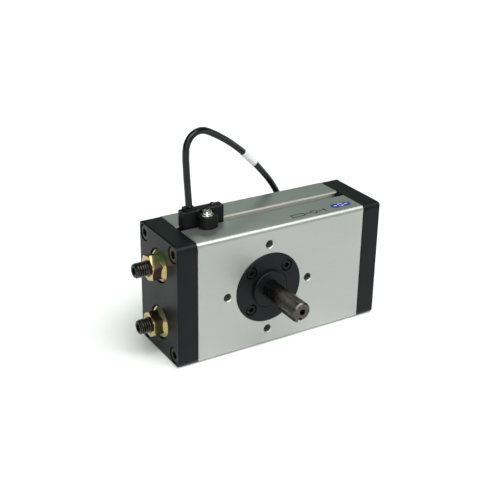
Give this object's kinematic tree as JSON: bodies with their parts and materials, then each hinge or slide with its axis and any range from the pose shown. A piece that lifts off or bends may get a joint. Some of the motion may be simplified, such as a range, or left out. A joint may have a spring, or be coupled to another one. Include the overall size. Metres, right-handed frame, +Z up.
{
  "type": "rotary pneumatic actuator",
  "caption": "Rack-and-pinion pneumatic rotary actuator with an aluminium body, black end caps, keyed output shaft, stop screws with lock nuts and a clamped magnetic switch on its cable.",
  "frame": {"origin": "output shaft axis on the front mounting face, which is the centre of the front mounting threads", "axes": "+X along the body towards the ported end cap, +Y from the mounting face into the body, +Z up; the shaft points along -Y"},
  "size_m": [0.14, 0.1294, 0.1195],
  "materials": {
    "body_aluminium": "clear anodised, satin",
    "black_anodised": "black anodised, satin",
    "black_steel": "black oxide",
    "shaft_steel": "ground",
    "bearing_steel": "polished",
    "rack_steel": "machined",
    "piston_aluminium": "turned",
    "cage_brass": "stamped",
    "rubber_black": "matt",
    "wear_plastic": "matt",
    "pad_plastic": "matt",
    "shoe_plastic": "matt",
    "magnet_grey": "matt",
    "yellow_zinc": "yellow chromated zinc, iridescent",
    "nickel": "nickel plated",
    "switch_plastic": "moulded, satin",
    "lens_plastic": "translucent",
    "reed_glass": "clear",
    "cable_pvc": "soft gloss",
    "marker_white": "satin",
    "core_plastic": "gloss"
  },
  "bodies": {
    "body": {"body_housing": "body_aluminium", "left_end_cap": "black_anodised", "right_end_cap": "black_anodised", "left_cap_screws": "black_steel", "right_cap_screws": "black_steel", "left_cap_o_rings": "rubber_black", "right_cap_o_rings": "rubber_black", "bearing_flange": "black_anodised", "flange_screws": "black_steel", "shaft_seal": "rubber_black", "front_bearing_outer_race": "bearing_steel", "rear_bearing_outer_race": "bearing_steel"},
    "output_shaft": {"pinion_shaft": "shaft_steel", "shaft_key": "shaft_steel", "front_bearing_inner_race": "bearing_steel", "rear_bearing_inner_race": "bearing_steel"},
    "front_ball_set": {"front_bearing_balls": "bearing_steel", "front_bearing_cage": "cage_brass"},
    "rear_ball_set": {"rear_bearing_balls": "bearing_steel", "rear_bearing_cage": "cage_brass"},
    "upper_rack_set": {"upper_rack": "rack_steel", "upper_guide_shoe": "shoe_plastic", "upper_piston": "piston_aluminium", "upper_piston_screw": "black_steel", "upper_piston_seal": "rubber_black", "upper_wear_ring": "wear_plastic", "upper_magnet": "magnet_grey"},
    "lower_rack_set": {"lower_rack": "rack_steel", "lower_guide_shoe": "shoe_plastic", "lower_piston": "piston_aluminium", "lower_piston_screw": "black_steel", "lower_piston_seal": "rubber_black", "lower_wear_ring": "wear_plastic"},
    "upper_stop": {"upper_stop_pad": "pad_plastic"},
    "upper_screw": {"upper_adjusting_screw": "black_steel"},
    "lower_stop": {"lower_stop_pad": "pad_plastic"},
    "lower_screw": {"lower_adjusting_screw": "black_steel"},
    "upper_nut_seat": {"upper_seal_ring": "rubber_black"},
    "upper_nut": {"upper_lock_nut": "yellow_zinc"},
    "lower_nut_seat": {"lower_seal_ring": "rubber_black"},
    "lower_nut": {"lower_lock_nut": "yellow_zinc"},
    "switch": {"switch_housing": "switch_plastic", "switch_lens": "lens_plastic", "reed_capsule": "reed_glass", "clamp_insert": "cage_brass", "sensor_cable": "cable_pvc", "cable_marker": "marker_white", "cable_coil": "cable_pvc", "cable_tie": "switch_plastic", "cable_tail": "cable_pvc", "cable_cores": "core_plastic"},
    "washer": {"clamp_washer": "nickel"},
    "clamp": {"clamp_screw": "nickel"}
  },
  "joints": [
    {"name": "upper_rack_slide", "type": "slide", "parent": "body", "child": "upper_rack_set", "axis": [1, 0, 0], "range_m": [-0.0164, 0.015]},
    {"name": "lower_rack_slide", "type": "slide", "parent": "body", "child": "lower_rack_set", "axis": [1, 0, 0], "range_m": [-0.01505, 0.01645]},
    {"name": "shaft_turn", "type": "hinge", "parent": "body", "child": "output_shaft", "pos_m": [0, 0, 0], "axis": [0, -1, 0], "range_deg": [-86, 94]},
    {"name": "front_balls_turn", "type": "hinge", "parent": "body", "child": "front_ball_set", "pos_m": [0, 0, 0], "axis": [0, -1, 0], "range_deg": [-35, 38]},
    {"name": "rear_balls_turn", "type": "hinge", "parent": "body", "child": "rear_ball_set", "pos_m": [0, 0, 0], "axis": [0, -1, 0], "range_deg": [-35, 38]},
    {"name": "upper_screw_travel", "type": "slide", "parent": "body", "child": "upper_stop", "axis": [-1, 0, 0], "range_m": [0, 0.0025]},
    {"name": "upper_screw_turn", "type": "hinge", "parent": "upper_stop", "child": "upper_screw", "pos_m": [-0.055, 0.0215, 0.0165], "axis": [-1, 0, 0], "range_deg": [0, 722]},
    {"name": "upper_nut_travel", "type": "slide", "parent": "body", "child": "upper_nut_seat", "axis": [-1, 0, 0], "range_m": [0, 0.0025]},
    {"name": "upper_nut_turn", "type": "hinge", "parent": "upper_nut_seat", "child": "upper_nut", "pos_m": [-0.057, 0.0215, 0.0165], "axis": [-1, 0, 0], "range_deg": [0, 722]},
    {"name": "lower_screw_travel", "type": "slide", "parent": "body", "child": "lower_stop", "axis": [-1, 0, 0], "range_m": [0, 0.0025]},
    {"name": "lower_screw_turn", "type": "hinge", "parent": "lower_stop", "child": "lower_screw", "pos_m": [-0.055, 0.0215, -0.0165], "axis": [-1, 0, 0], "range_deg": [0, 722]},
    {"name": "lower_nut_travel", "type": "slide", "parent": "body", "child": "lower_nut_seat", "axis": [-1, 0, 0], "range_m": [0, 0.0025]},
    {"name": "lower_nut_turn", "type": "hinge", "parent": "lower_nut_seat", "child": "lower_nut", "pos_m": [-0.057, 0.0215, -0.0165], "axis": [-1, 0, 0], "range_deg": [0, 722]},
    {"name": "switch_slide", "type": "slide", "parent": "body", "child": "switch", "axis": [1, 0, 0], "range_m": [-0.0022, 0.075]},
    {"name": "clamp_lift", "type": "slide", "parent": "switch", "child": "washer", "axis": [0, 0, 1], "range_m": [0, 0.0005]},
    {"name": "clamp_turn", "type": "hinge", "parent": "washer", "child": "clamp", "pos_m": [-0.028, 0.0168, 0.0405], "axis": [0, 0, 1], "range_deg": [0, 362]}
  ],
  "couplings": [
    {"joint": "lower_rack_slide", "follows": "upper_rack_slide", "ratio": -1},
    {"joint": "shaft_turn", "follows": "upper_rack_slide", "rad_per_m": -100},
    {"joint": "front_balls_turn", "follows": "upper_rack_slide", "rad_per_m": -40},
    {"joint": "rear_balls_turn", "follows": "upper_rack_slide", "rad_per_m": -40},
    {"joint": "upper_screw_turn", "follows": "upper_screw_travel", "rad_per_m": 5026.5},
    {"joint": "upper_nut_turn", "follows": "upper_nut_travel", "rad_per_m": 5026.5},
    {"joint": "lower_screw_turn", "follows": "lower_screw_travel", "rad_per_m": 5026.5},
    {"joint": "lower_nut_turn", "follows": "lower_nut_travel", "rad_per_m": 5026.5},
    {"joint": "clamp_turn", "follows": "clamp_lift", "rad_per_m": 12566}
  ]
}
